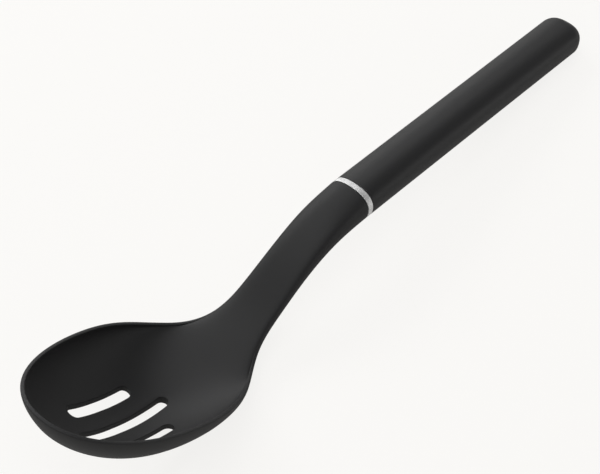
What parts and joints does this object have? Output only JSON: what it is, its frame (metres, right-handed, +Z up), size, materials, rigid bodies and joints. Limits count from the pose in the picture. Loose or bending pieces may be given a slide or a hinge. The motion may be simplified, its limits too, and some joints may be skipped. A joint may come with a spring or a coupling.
{
  "type": "slotted serving spoon",
  "caption": "Serving spoon with a deep slotted oval bowl, a curved neck, a thin steel band and a straight soft-touch handle.",
  "frame": {"origin": "middle of the footprint, on the table that the spoon lies on", "axes": "+X from the bowl's tip towards the handle's butt, +Y across the spoon, +Z up from the table, with the bowl's hollow facing up"},
  "size_m": [0.3358, 0.066, 0.0658],
  "materials": {
    "nylon": "fine moulded matte",
    "steel": "brushed along the handle",
    "core_plastic": "plain moulded",
    "soft_touch": "fine matte soft-touch"
  },
  "bodies": {
    "root": {"spoon_head": "nylon", "steel_band": "steel", "handle_core": "core_plastic", "soft_grip": "soft_touch"}
  },
  "joints": []
}
